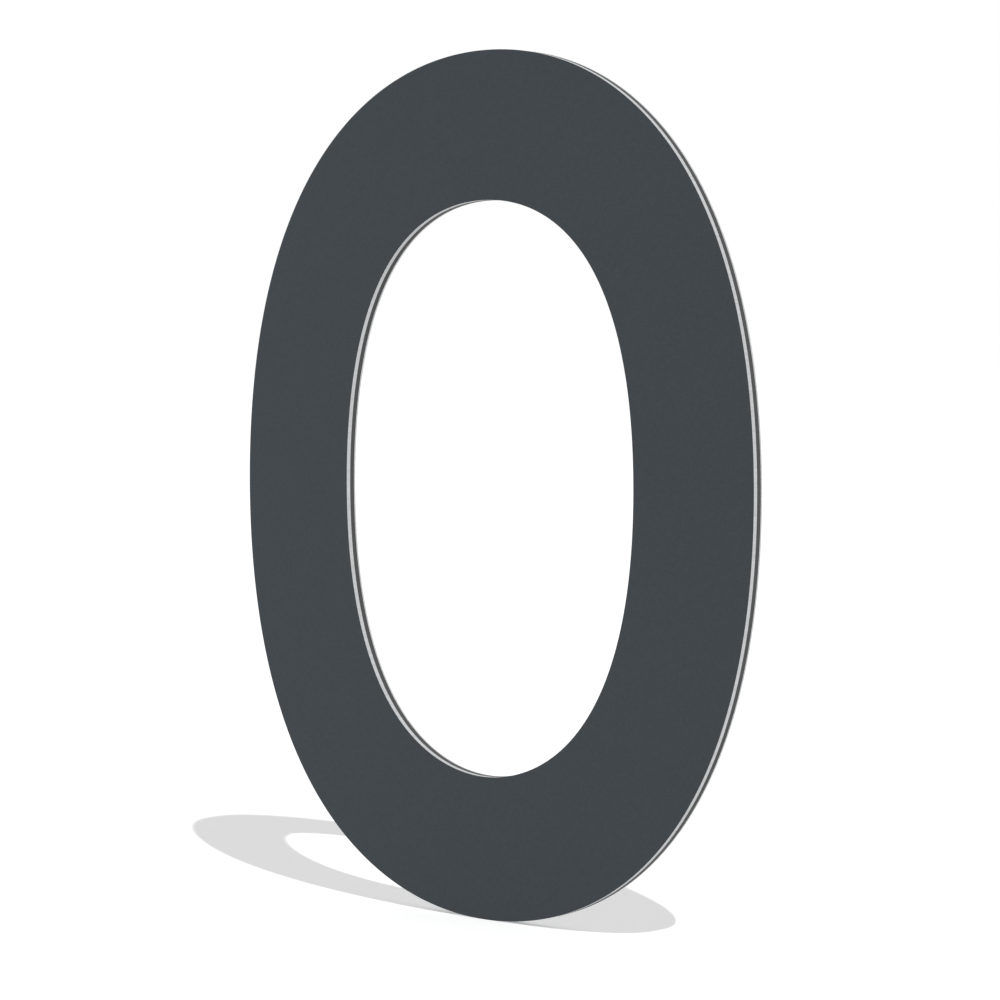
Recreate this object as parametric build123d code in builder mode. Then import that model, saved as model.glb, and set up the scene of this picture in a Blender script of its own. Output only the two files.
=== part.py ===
from build123d import *
import os

# House number: the numeral 0, cut from layered aluminium panel and fixed flat on a wall.
# X runs across the numeral, Y from its lacquered face (-Y) to the wall (+Y), and Z up.
# The origin is the middle of the numeral. Millimetres.

# Outside of the numeral, and the width of its stroke: at the sides and the foot, and at the crown
numeral_height = 200.0
numeral_width = 154.0
stroke = 33.1
crown_stroke = 34.2

# Each quarter of an oval is one curve, from its side to its crown or its foot.
# It keeps upright from the side for a share of the half height,
# and level from the crown or the foot for a share of the half width.
# The hole's sides are straighter than the numeral's, and its foot is tighter than its crown.
outside_upright, outside_level = 0.723, 0.497
hole_crown_upright, hole_crown_level = 0.822, 0.429
hole_foot_upright, hole_foot_level = 0.890, 0.286

# Layers of the panel, from the lacquered face to the wall
front_thickness = 1.20
core_thickness = 1.32
rear_thickness = 0.48
panel_thickness = front_thickness + core_thickness + rear_thickness


def quarter(half_width, end, upright, level):
    """Right-hand quarter of an oval, from its side to its crown or foot at the height end."""
    Bezier(
        (half_width, 0),
        (half_width, upright * end),
        (level * half_width, end),
        (0, end),
    )


def oval(half_width, crown, foot):
    """Closed line of four quarters, the same on its left as on its right."""
    with BuildLine() as line:
        quarter(half_width, *crown)
        quarter(half_width, *foot)
        mirror(about=Plane.YZ)
    return line.wire()


# Face of the numeral, shared by every layer because the panel is cut in one pass
half_width = numeral_width / 2
half_height = numeral_height / 2
outside = oval(
    half_width,
    crown=(half_height, outside_upright, outside_level),
    foot=(-half_height, outside_upright, outside_level),
)
hole = oval(
    half_width - stroke,
    crown=(half_height - crown_stroke, hole_crown_upright, hole_crown_level),
    foot=(stroke - half_height, hole_foot_upright, hole_foot_level),
)
numeral = Face(outside, [hole])


def layer(gap_to_wall, thickness):
    """Layer of the panel that starts gap_to_wall from the wall and grows to the lacquered face."""
    wall_side = Plane.XZ.offset(gap_to_wall - panel_thickness / 2)
    with BuildPart() as sheet:
        # Cleaning would merge each outline's four exact quarters into one approximate curve
        extrude(wall_side * numeral, amount=thickness, clean=False)
    return sheet.part


# Bare aluminium sheet against the wall
rear_sheet = layer(0, rear_thickness)

# Dark plastic core, bonded to both sheets
core = layer(rear_thickness, core_thickness)

# Aluminium sheet with the lacquered face
front_sheet = layer(rear_thickness + core_thickness, front_thickness)

rear_sheet.label = "rear_sheet"
core.label = "core"
front_sheet.label = "front_sheet"

os.makedirs("parts", exist_ok=True)
export_step(rear_sheet, "parts/rear_sheet.step")
export_step(core, "parts/core.step")
export_step(front_sheet, "parts/front_sheet.step")
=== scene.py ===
import math

import bpy
import numpy as np
from mathutils import Matrix, Vector


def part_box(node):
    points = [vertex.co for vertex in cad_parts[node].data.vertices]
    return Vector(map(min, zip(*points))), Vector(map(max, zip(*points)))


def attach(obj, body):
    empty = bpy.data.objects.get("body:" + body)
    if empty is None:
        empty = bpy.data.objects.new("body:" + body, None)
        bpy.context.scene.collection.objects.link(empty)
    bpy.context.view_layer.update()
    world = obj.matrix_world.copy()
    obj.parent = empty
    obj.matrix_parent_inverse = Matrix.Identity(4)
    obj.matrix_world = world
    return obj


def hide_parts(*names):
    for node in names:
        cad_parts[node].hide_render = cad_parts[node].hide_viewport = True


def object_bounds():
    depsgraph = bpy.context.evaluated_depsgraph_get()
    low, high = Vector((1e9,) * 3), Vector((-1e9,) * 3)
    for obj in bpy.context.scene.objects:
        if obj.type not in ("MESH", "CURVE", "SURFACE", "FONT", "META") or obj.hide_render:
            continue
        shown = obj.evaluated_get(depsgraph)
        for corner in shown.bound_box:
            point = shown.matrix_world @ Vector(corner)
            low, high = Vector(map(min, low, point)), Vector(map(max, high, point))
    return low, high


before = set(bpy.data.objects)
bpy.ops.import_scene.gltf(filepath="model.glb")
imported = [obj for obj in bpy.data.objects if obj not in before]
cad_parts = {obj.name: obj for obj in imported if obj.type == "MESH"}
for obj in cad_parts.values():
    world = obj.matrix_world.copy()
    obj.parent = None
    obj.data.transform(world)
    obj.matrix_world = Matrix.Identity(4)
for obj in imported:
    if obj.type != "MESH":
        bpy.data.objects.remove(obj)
cad_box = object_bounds()
box_low = cad_box[0]

# Camera, as found from the photo's outlines. Right and up move its aim off the face's middle.
camera_azimuth = math.radians(41.219)
camera_elevation = math.radians(2.405)
camera_distance = 0.730931
camera_right = 0.003620
camera_up = -0.002959
camera_near = 0.01
camera_far = 200.0
lens_mm = 114.468
sensor_mm = 36.0

# Light: a pale room, and one lamp from the front right above
room_strength = 0.45
lamp_travel = Vector((-0.651, 0.441, -1.0))
lamp_strength = 1.66
lamp_angle = math.radians(0.6)

# Floor and room as they are seen. The glow lifts the lit floor to white and leaves the shadow.
floor_half = 30.0
floor_albedo = 0.965
floor_roughness = 0.9
floor_specular = 0.0
floor_glow = 0.28
seen_strength = 1.0
white = (1.0, 1.0, 1.0, 1.0)

# Outlines: points on each, the share of the half size that parts them, and what CAD points count
outline_points = 720
outside_from = 0.85
place_digits = 7
least_gap = 0.002
crease_angle = math.radians(25)

# Lacquer film on the front sheet, and the small break along the panel's outermost edges
film_thickness = 0.00005
edge_break = 0.00003

# Noises: their detail and roughness, the range of nearly all their values, and their turns
plain_noise = (2.0, 0.5)
fine_noise = (3.0, 0.6)
finest_noise = (4.0, 0.6)
noise_range = (0.3, 0.7)
off_on = (0.0, 1.0)
no_turn = (0.0, 0.0, 0.0)
mottle_turn = (0.62, 0.95, 0.41)

# Anthracite lacquer: linear colour, waves a metre, shades of the colour, and bump depth in metres
lacquer_colour = (0.0466, 0.0563, 0.0647)
lacquer_grain_waves = 3600
lacquer_peel_waves = 900
lacquer_cloud_waves = 38
lacquer_grain_shades = (0.86, 1.14)
lacquer_peel_shades = (0.96, 1.04)
lacquer_cloud_shades = (0.98, 1.02)
lacquer_height_mix = (0.6, 0.4)
lacquer_gloss_mix = (0.7, 0.3)
lacquer_roughness = (0.50, 0.60)
lacquer_specular = 0.2
lacquer_bump = (0.8, 0.00005)

# Bare aluminium, cut and rolled. The contrast is the range of noise spread over the shades.
aluminium_colour = (0.572, 0.576, 0.584)
cut_line_waves = (300, 11000, 300)
cut_mark_waves = (2200, 120, 2200)
cut_mix = (0.55, 0.45)
cut_shades = (0.86, 1.12)
cut_contrast = (0.36, 0.64)
cut_roughness = (0.56, 0.72)
cut_bump = (0.35, 0.00001)
rolled_grain_waves = (5200, 5200, 45)
rolled_cloud_waves = (26, 26, 10)
rolled_grain_shades = (0.90, 1.10)
rolled_cloud_shades = (0.96, 1.04)
rolled_gloss_mix = (0.5, 0.5)
rolled_roughness = (0.34, 0.48)
rolled_bump = (0.25, 0.00001)

# Dark plastic core
core_colour = (0.063, 0.064, 0.065)
core_line_waves = (500, 7000, 500)
core_pit_waves = 2400
core_mix = (0.5, 0.5)
core_shades = (0.76, 1.24)
core_contrast = (0.4, 0.6)
core_roughness = (0.56, 0.78)
core_specular = 0.35
core_bump = (0.8, 0.00005)


def closed_spline(angles, radii, wanted):
    """Smooth closed curve through radii at angles, read at the wanted angles."""
    count = len(angles)
    gap = np.roll(angles, -1) - angles
    gap[-1] += 2 * math.pi
    rise = (np.roll(radii, -1) - radii) / gap
    bends = np.zeros((count, count))
    for i in range(count):
        bends[i, i - 1] = gap[i - 1]
        bends[i, i] = 2 * (gap[i - 1] + gap[i])
        bends[i, (i + 1) % count] = gap[i]
    bend = np.linalg.solve(bends, 6 * (rise - np.roll(rise, 1)))
    turned = (wanted - angles[0]) % (2 * math.pi) + angles[0]
    i = np.searchsorted(angles, turned, side="right") - 1
    after = (i + 1) % count
    done = turned - angles[i]
    left = gap[i] - done
    curve = (bend[i] * left**3 + bend[after] * done**3) / (6 * gap[i])
    from_here = (radii[i] / gap[i] - bend[i] * gap[i] / 6) * left
    from_next = (radii[after] / gap[i] - bend[after] * gap[i] / 6) * done
    return curve + from_here + from_next


def smooth_outline(points, low, high):
    """Smooth closed line through CAD points, within the CAD box, with its outward directions."""
    angles = np.arctan2(points[:, 1], points[:, 0])
    points = points[np.argsort(angles)]
    angles = np.sort(angles)
    apart = np.diff(angles, prepend=angles[-1] - 2 * math.pi) > least_gap
    radii = np.hypot(points[:, 0], points[:, 1])
    wanted = np.linspace(0, 2 * math.pi, outline_points, endpoint=False)
    radius = closed_spline(angles[apart], radii[apart], wanted)
    line = np.column_stack([radius * np.cos(wanted), radius * np.sin(wanted)])
    line = np.clip(line, (low.x, low.z), (high.x, high.z))
    along = np.roll(line, -1, axis=0) - np.roll(line, 1, axis=0)
    outward = np.column_stack([along[:, 1], -along[:, 0]])
    outward /= np.linalg.norm(outward, axis=1)[:, None]
    return line, outward


def outlines():
    """The outlines of the numeral's outside and its hole, from the front sheet's CAD node."""
    low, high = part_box("front_sheet")
    corners = np.array([v.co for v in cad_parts["front_sheet"].data.vertices])
    flat = np.unique(corners[:, [0, 2]].round(place_digits), axis=0)
    share = np.hypot(flat[:, 0] / high.x, flat[:, 1] / high.z)
    outside = flat[share > outside_from]
    hole = flat[share <= outside_from]
    return smooth_outline(outside, low, high), smooth_outline(hole, low, high)


def layer_mesh(name, rings):
    """Closed mesh of a layer through its rings, and which paint each of its faces has."""
    corners = []
    for (line, outward), into_panel in zip(outlines(), (-1, 1)):
        for inset, y in rings:
            moved = line + into_panel * inset * outward
            corners += [(x, y, z) for x, z in moved]
    count = outline_points
    hole = len(rings) * count
    back = hole - count
    faces = []
    painted = []
    for i in range(count):
        j = (i + 1) % count
        faces.append((i, j, hole + j, hole + i))
        faces.append((back + j, back + i, hole + back + i, hole + back + j))
        painted += [0, len(rings)]
        for step in range(1, len(rings)):
            a, b = (step - 1) * count, step * count
            faces.append((a + j, a + i, b + i, b + j))
            faces.append((hole + a + i, hole + a + j, hole + b + j, hole + b + i))
            painted += [step, step]
    mesh = bpy.data.meshes.new(name)
    mesh.from_pydata(corners, [], faces)
    mesh.validate()
    mesh.shade_smooth()
    mesh.set_sharp_from_angle(angle=crease_angle)
    return mesh, painted


def layer_piece(name, node_name, rings, paints):
    """A layer of the panel on smooth outlines, which stands for its CAD node.

    Each ring is an inset from the outlines and a place from front to back.
    The paints go on the front, on the wall behind each ring, and on the back.
    """
    mesh, painted = layer_mesh(name, rings)
    used = list(dict.fromkeys(paints))
    for paint in used:
        mesh.materials.append(paint)
    index = [used.index(paint) for paint in paints]
    mesh.polygons.foreach_set("material_index", [index[i] for i in painted])
    piece = bpy.data.objects.new(name, mesh)
    bpy.context.scene.collection.objects.link(piece)
    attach(piece, "root")
    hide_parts(node_name)


def new_material(name):
    """A node material with one Principled shader."""
    made = bpy.data.materials.new(name)
    made.use_nodes = True
    tree = made.node_tree
    tree.nodes.clear()
    out = tree.nodes.new("ShaderNodeOutputMaterial")
    shader = tree.nodes.new("ShaderNodeBsdfPrincipled")
    tree.links.new(shader.outputs["BSDF"], out.inputs["Surface"])
    return made, tree, shader


def fill(tree, made, values):
    """Sets a node's inputs to constants, or to outputs of other nodes."""
    for key, value in values.items():
        if isinstance(value, bpy.types.NodeSocket):
            tree.links.new(value, made.inputs[key])
        else:
            made.inputs[key].default_value = value


def node(tree, kind, values, **settings):
    """Adds a node with its settings and its inputs."""
    made = tree.nodes.new(kind)
    for key, value in settings.items():
        setattr(made, key, value)
    fill(tree, made, values)
    return made


def noise(tree, waves, grade=plain_noise, turn=no_turn):
    """Noise with its own waves along X, Y and Z, turned off those axes."""
    detail, roughness = grade
    where = node(tree, "ShaderNodeTexCoord", {})
    placed = node(
        tree,
        "ShaderNodeMapping",
        {"Vector": where.outputs["Object"], "Rotation": turn, "Scale": waves},
    )
    made = node(
        tree,
        "ShaderNodeTexNoise",
        {"Vector": placed.outputs[0], "Scale": 1.0, "Detail": detail, "Roughness": roughness},
    )
    return made.outputs["Fac"]


def mottle(tree, waves, grade=plain_noise):
    """Noise that is alike in all directions, off the axes so that no pattern lines up."""
    return noise(tree, (waves, waves, waves), grade, mottle_turn)


def spread(tree, value, to_range, from_range=noise_range):
    """Maps a value from one range to another, and not past it."""
    made = node(
        tree,
        "ShaderNodeMapRange",
        {
            "Value": value,
            "From Min": from_range[0],
            "From Max": from_range[1],
            "To Min": to_range[0],
            "To Max": to_range[1],
        },
    )
    return made.outputs["Result"]


def maths(tree, operation, a, b):
    """Sum, product or the like of two values."""
    return node(tree, "ShaderNodeMath", {0: a, 1: b}, operation=operation).outputs[0]


def mixed(tree, values, weights):
    """Weighted sum of values."""
    total = 0.0
    for value, weight in zip(values, weights):
        total = maths(tree, "ADD", maths(tree, "MULTIPLY", value, weight), total)
    return total


def shaded(tree, colour, *shares):
    """A colour times values."""
    for share in shares:
        made = node(tree, "ShaderNodeVectorMath", {0: colour, "Scale": share}, operation="SCALE")
        colour = made.outputs[0]
    return colour


def bumped(tree, height, bump):
    """Surface direction for a height, with the bump's strength and depth."""
    strength, depth = bump
    made = node(tree, "ShaderNodeBump", {"Height": height, "Strength": strength, "Distance": depth})
    return made.outputs["Normal"]


def anthracite_lacquer():
    """Matt dark lacquer: fine grain, a little orange peel and very slow clouding."""
    made, tree, shader = new_material("anthracite_lacquer")
    grain = mottle(tree, lacquer_grain_waves, fine_noise)
    peel = mottle(tree, lacquer_peel_waves)
    cloud = mottle(tree, lacquer_cloud_waves)
    height = mixed(tree, (grain, peel), lacquer_height_mix)
    gloss = mixed(tree, (grain, cloud), lacquer_gloss_mix)
    fill(
        tree,
        shader,
        {
            "Base Color": shaded(
                tree,
                lacquer_colour,
                spread(tree, grain, lacquer_grain_shades),
                spread(tree, peel, lacquer_peel_shades),
                spread(tree, cloud, lacquer_cloud_shades),
            ),
            "Roughness": spread(tree, gloss, lacquer_roughness),
            "Specular IOR Level": lacquer_specular,
            "Normal": bumped(tree, height, lacquer_bump),
        },
    )
    return made


def cut_aluminium():
    """Bare aluminium edge: fine lines along the panel, and cutter marks across it."""
    made, tree, shader = new_material("cut_aluminium")
    lines = noise(tree, cut_line_waves, fine_noise)
    marks = noise(tree, cut_mark_waves)
    height = mixed(tree, (lines, marks), cut_mix)
    shade = spread(tree, height, cut_shades, cut_contrast)
    fill(
        tree,
        shader,
        {
            "Base Color": shaded(tree, aluminium_colour, shade),
            "Metallic": 1.0,
            "Roughness": spread(tree, height, cut_roughness),
            "Normal": bumped(tree, height, cut_bump),
        },
    )
    return made


def rolled_aluminium():
    """Mill finish back: rolling grain up and down, and slow clouding."""
    made, tree, shader = new_material("rolled_aluminium")
    grain = noise(tree, rolled_grain_waves, finest_noise)
    cloud = noise(tree, rolled_cloud_waves)
    gloss = mixed(tree, (grain, cloud), rolled_gloss_mix)
    fill(
        tree,
        shader,
        {
            "Base Color": shaded(
                tree,
                aluminium_colour,
                spread(tree, grain, rolled_grain_shades),
                spread(tree, cloud, rolled_cloud_shades),
            ),
            "Metallic": 1.0,
            "Roughness": spread(tree, gloss, rolled_roughness),
            "Normal": bumped(tree, grain, rolled_bump),
        },
    )
    return made


def dark_core():
    """Matt dark plastic, cut: smeared lines along the panel and fine mottling."""
    made, tree, shader = new_material("dark_core")
    lines = noise(tree, core_line_waves, fine_noise)
    pits = mottle(tree, core_pit_waves, fine_noise)
    height = mixed(tree, (lines, pits), core_mix)
    shade = spread(tree, height, core_shades, core_contrast)
    fill(
        tree,
        shader,
        {
            "Base Color": shaded(tree, core_colour, shade),
            "Roughness": spread(tree, height, core_roughness),
            "Specular IOR Level": core_specular,
            "Normal": bumped(tree, height, core_bump),
        },
    )
    return made


def make_panel():
    """The three layers of the panel, flush at the cut edge."""
    lacquer = anthracite_lacquer()
    cut = cut_aluminium()
    plastic = dark_core()
    front, back = (corner.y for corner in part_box("front_sheet"))
    rings = [
        (edge_break, front),
        (0.0, front + edge_break),
        (0.0, front + film_thickness),
        (0.0, back),
    ]
    paints = [lacquer, lacquer, lacquer, cut, cut]
    layer_piece("lacquered_sheet", "front_sheet", rings, paints)
    front, back = (corner.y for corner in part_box("core"))
    layer_piece("core_layer", "core", [(0.0, front), (0.0, back)], [plastic] * 3)
    front, back = (corner.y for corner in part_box("rear_sheet"))
    rings = [(0.0, front), (0.0, back - edge_break), (edge_break, back)]
    paints = [cut, cut, cut, rolled_aluminium()]
    layer_piece("wall_sheet", "rear_sheet", rings, paints)


def looked_at(tree):
    """1 for what the camera sees, straight, in a reflection or through glass."""
    rays = node(tree, "ShaderNodeLightPath", {}).outputs
    seen = maths(tree, "MAXIMUM", rays["Is Camera Ray"], rays["Is Glossy Ray"])
    return maths(tree, "MAXIMUM", seen, rays["Is Transmission Ray"])


def make_floor():
    """Wide pale floor under the numeral's foot, which keeps the numeral's shadow."""
    mesh = bpy.data.meshes.new("floor")
    sides = ((-1, -1), (1, -1), (1, 1), (-1, 1))
    corners = [(x * floor_half, y * floor_half, box_low.z) for x, y in sides]
    mesh.from_pydata(corners, [], [(0, 1, 2, 3)])
    floor = bpy.data.objects.new("floor", mesh)
    bpy.context.scene.collection.objects.link(floor)
    made, tree, shader = new_material("pale_floor")
    fill(
        tree,
        shader,
        {
            "Base Color": (floor_albedo, floor_albedo, floor_albedo, 1.0),
            "Roughness": floor_roughness,
            "Specular IOR Level": floor_specular,
            "Emission Color": white,
            "Emission Strength": spread(tree, looked_at(tree), (0.0, floor_glow), off_on),
        },
    )
    floor.data.materials.append(made)


def make_room():
    """World that is white to the camera and in reflections, and dimmer as light."""
    world = bpy.data.worlds.new("room")
    bpy.context.scene.world = world
    world.use_nodes = True
    tree = world.node_tree
    tree.nodes.clear()
    strength = spread(tree, looked_at(tree), (room_strength, seen_strength), off_on)
    back = node(tree, "ShaderNodeBackground", {"Color": white, "Strength": strength})
    out = node(tree, "ShaderNodeOutputWorld", {})
    tree.links.new(back.outputs[0], out.inputs["Surface"])


def make_lamp():
    """Lamp that throws the numeral's shadow to the left and behind it."""
    data = bpy.data.lights.new("lamp", "SUN")
    data.energy = lamp_strength
    data.angle = lamp_angle
    lamp = bpy.data.objects.new("lamp", data)
    lamp.rotation_mode = "QUATERNION"
    lamp.rotation_quaternion = lamp_travel.to_track_quat("-Z", "Y")
    bpy.context.scene.collection.objects.link(lamp)


def make_camera():
    """Camera at the photo's viewing angle."""
    level = math.cos(camera_elevation)
    back = Vector(
        (
            math.sin(camera_azimuth) * level,
            -math.cos(camera_azimuth) * level,
            math.sin(camera_elevation),
        )
    )
    right = Vector((math.cos(camera_azimuth), math.sin(camera_azimuth), 0.0))
    up = back.cross(right)
    data = bpy.data.cameras.new("camera")
    data.lens = lens_mm
    data.sensor_width = sensor_mm
    data.clip_start = camera_near
    data.clip_end = camera_far
    camera = bpy.data.objects.new("camera", data)
    face_middle = Vector((0.0, box_low.y, 0.0))
    eye = face_middle + camera_distance * back + camera_right * right + camera_up * up
    turn = Matrix((right, up, back)).transposed().to_4x4()
    camera.matrix_world = Matrix.Translation(eye) @ turn
    bpy.context.scene.collection.objects.link(camera)
    bpy.context.scene.camera = camera


make_panel()
make_floor()
make_room()
make_lamp()
make_camera()
bpy.context.scene.view_settings.view_transform = "Standard"
